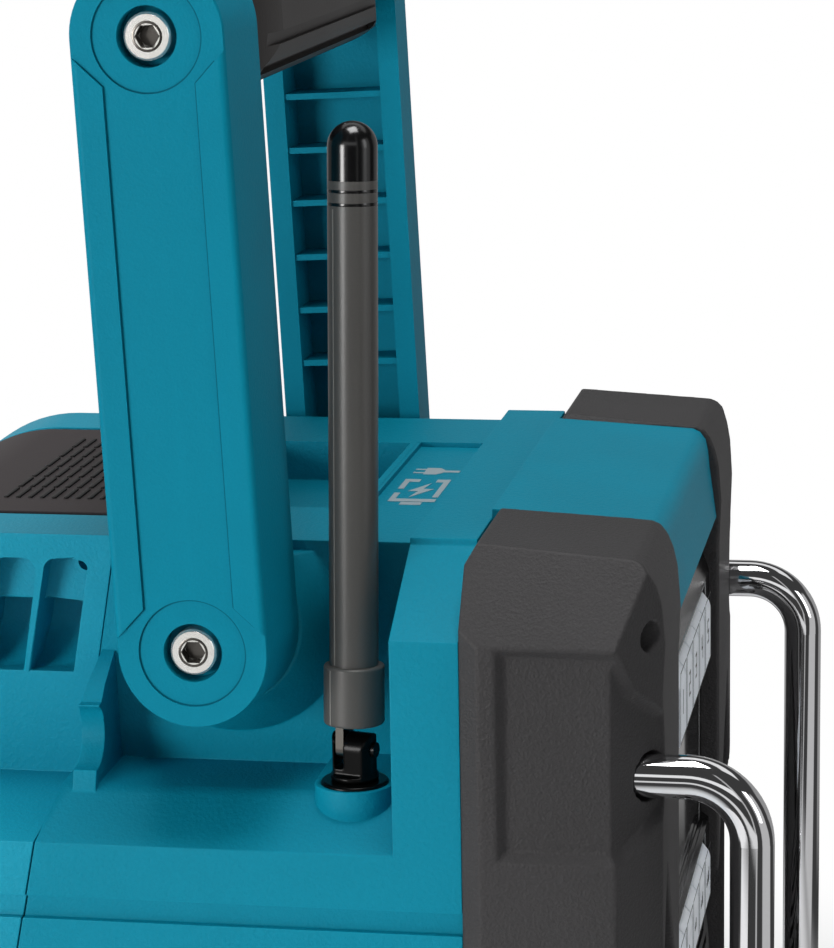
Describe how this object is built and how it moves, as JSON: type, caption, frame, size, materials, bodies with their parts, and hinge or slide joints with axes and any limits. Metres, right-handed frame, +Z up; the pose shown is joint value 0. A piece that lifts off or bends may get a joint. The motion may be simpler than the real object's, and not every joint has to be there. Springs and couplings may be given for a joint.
{
  "type": "jobsite radio",
  "caption": "Boxy jobsite radio with rubber corner bumpers, chrome roll bars, a folding carrying handle, a stowable antenna, front keys, knobs, speakers and a battery door at the back.",
  "frame": {"origin": "centre of the bounding box's footprint, on the floor under the feet", "axes": "+X to the right of someone facing the front, +Y to the rear, +Z up"},
  "size_m": [0.268, 0.2967, 0.4451],
  "materials": {
    "teal_shell": "fine-grained moulded polymer, satin",
    "charcoal_rubber": "textured elastomer, matte",
    "grip_rubber": "soft matte elastomer",
    "black_plastic": "moulded polymer",
    "gloss_black": "polished",
    "chrome": "polished plating",
    "steel": "machined",
    "display": "clear-coated dark window",
    "key_grey": "satin moulded key",
    "antenna_rubber": "satin elastomer",
    "board": "laminate",
    "cone": "pressed paper cone",
    "brass": "plated contact",
    "nylon": "natural nylon"
  },
  "bodies": {
    "housing": {"front_housing": "teal_shell", "door_hinge_pins": "steel", "rear_chassis": "black_plastic", "terminal_block": "black_plastic", "door_gasket": "charcoal_rubber", "ac_inlet": "black_plastic", "bumper_left": "charcoal_rubber", "bumper_right": "charcoal_rubber", "bumper_screws": "chrome", "roll_bar_left": "chrome", "roll_bar_right": "chrome", "front_baffle": "black_plastic", "speaker_grille_left": "black_plastic", "speaker_grille_right": "black_plastic", "speaker_frame_left": "steel", "speaker_frame_right": "steel", "speaker_cone_left": "cone", "speaker_cone_right": "cone", "speaker_magnet_left": "steel", "speaker_magnet_right": "steel", "console_frame": "gloss_black", "display_lens": "display", "display_module": "black_plastic", "keypad_mat": "charcoal_rubber", "main_board": "board", "volume_encoder": "steel", "tuning_encoder": "steel", "pivot_bolts": "chrome", "pivot_washers": "nylon", "antenna_flange": "gloss_black", "feet": "charcoal_rubber"},
    "handle": {"handle_arm_left": "teal_shell", "handle_arm_right": "teal_shell", "grip_rubber": "grip_rubber", "grip_core": "steel", "grip_bolts": "chrome"},
    "antenna_base": {"antenna_swivel": "gloss_black", "antenna_pin": "steel"},
    "antenna": {"antenna_rod": "steel", "antenna_sleeve": "antenna_rubber", "antenna_cap": "gloss_black"},
    "door": {"rear_door": "teal_shell", "latch_pin": "steel"},
    "latch": {"latch_lever": "black_plastic", "latch_pad": "grip_rubber"},
    "volume": {"volume_knob": "charcoal_rubber", "volume_shaft": "steel"},
    "tuning": {"tuning_knob": "charcoal_rubber", "tuning_shaft": "steel"},
    "preset_1": {"key_1": "key_grey"},
    "function_1": {"function_key_1": "key_grey"},
    "preset_2": {"key_2": "key_grey"},
    "function_2": {"function_key_2": "key_grey"},
    "preset_3": {"key_3": "key_grey"},
    "function_3": {"function_key_3": "key_grey"},
    "preset_4": {"key_4": "key_grey"},
    "function_4": {"function_key_4": "key_grey"},
    "preset_5": {"key_5": "key_grey"},
    "function_5": {"function_key_5": "key_grey"}
  },
  "joints": [
    {"name": "handle_fold", "type": "hinge", "parent": "housing", "child": "handle", "pos_m": [0, 0.01035, 0.253], "axis": [1, 0, 0], "range_deg": [-87.6, 2.4]},
    {"name": "antenna_swivel", "type": "hinge", "parent": "housing", "child": "antenna_base", "pos_m": [-0.108, -0.02945, 0.21], "axis": [0, 0, 1], "range_deg": [-76, 12]},
    {"name": "antenna_tilt", "type": "hinge", "parent": "antenna_base", "child": "antenna", "pos_m": [-0.108, -0.02945, 0.2199], "axis": [-0.2419, -0.9703, 0], "range_deg": [0, 92.5]},
    {"name": "door_open", "type": "hinge", "parent": "housing", "child": "door", "pos_m": [0, 0.14335, 0.03], "axis": [-1, 0, 0], "range_deg": [0, 85]},
    {"name": "latch_lift", "type": "hinge", "parent": "door", "child": "latch", "pos_m": [0, 0.14116, 0.24637], "axis": [-1, 0, 0], "range_deg": [0, 20]},
    {"name": "volume_turn", "type": "hinge", "parent": "housing", "child": "volume", "pos_m": [0, -0.11465, 0.084], "axis": [0, 1, 0], "continuous": true},
    {"name": "tuning_turn", "type": "hinge", "parent": "housing", "child": "tuning", "pos_m": [0, -0.11465, 0.041], "axis": [0, 1, 0], "continuous": true},
    {"name": "preset_1_press", "type": "slide", "parent": "housing", "child": "preset_1", "axis": [0, 1, 0], "range_m": [0, 0.0008], "stiffness_N_per_m": 600},
    {"name": "function_1_press", "type": "slide", "parent": "housing", "child": "function_1", "axis": [0, 1, 0], "range_m": [0, 0.0008], "stiffness_N_per_m": 600},
    {"name": "preset_2_press", "type": "slide", "parent": "housing", "child": "preset_2", "axis": [0, 1, 0], "range_m": [0, 0.0008], "stiffness_N_per_m": 600},
    {"name": "function_2_press", "type": "slide", "parent": "housing", "child": "function_2", "axis": [0, 1, 0], "range_m": [0, 0.0008], "stiffness_N_per_m": 600},
    {"name": "preset_3_press", "type": "slide", "parent": "housing", "child": "preset_3", "axis": [0, 1, 0], "range_m": [0, 0.0008], "stiffness_N_per_m": 600},
    {"name": "function_3_press", "type": "slide", "parent": "housing", "child": "function_3", "axis": [0, 1, 0], "range_m": [0, 0.0008], "stiffness_N_per_m": 600},
    {"name": "preset_4_press", "type": "slide", "parent": "housing", "child": "preset_4", "axis": [0, 1, 0], "range_m": [0, 0.0008], "stiffness_N_per_m": 600},
    {"name": "function_4_press", "type": "slide", "parent": "housing", "child": "function_4", "axis": [0, 1, 0], "range_m": [0, 0.0008], "stiffness_N_per_m": 600},
    {"name": "preset_5_press", "type": "slide", "parent": "housing", "child": "preset_5", "axis": [0, 1, 0], "range_m": [0, 0.0008], "stiffness_N_per_m": 600},
    {"name": "function_5_press", "type": "slide", "parent": "housing", "child": "function_5", "axis": [0, 1, 0], "range_m": [0, 0.0008], "stiffness_N_per_m": 600}
  ]
}
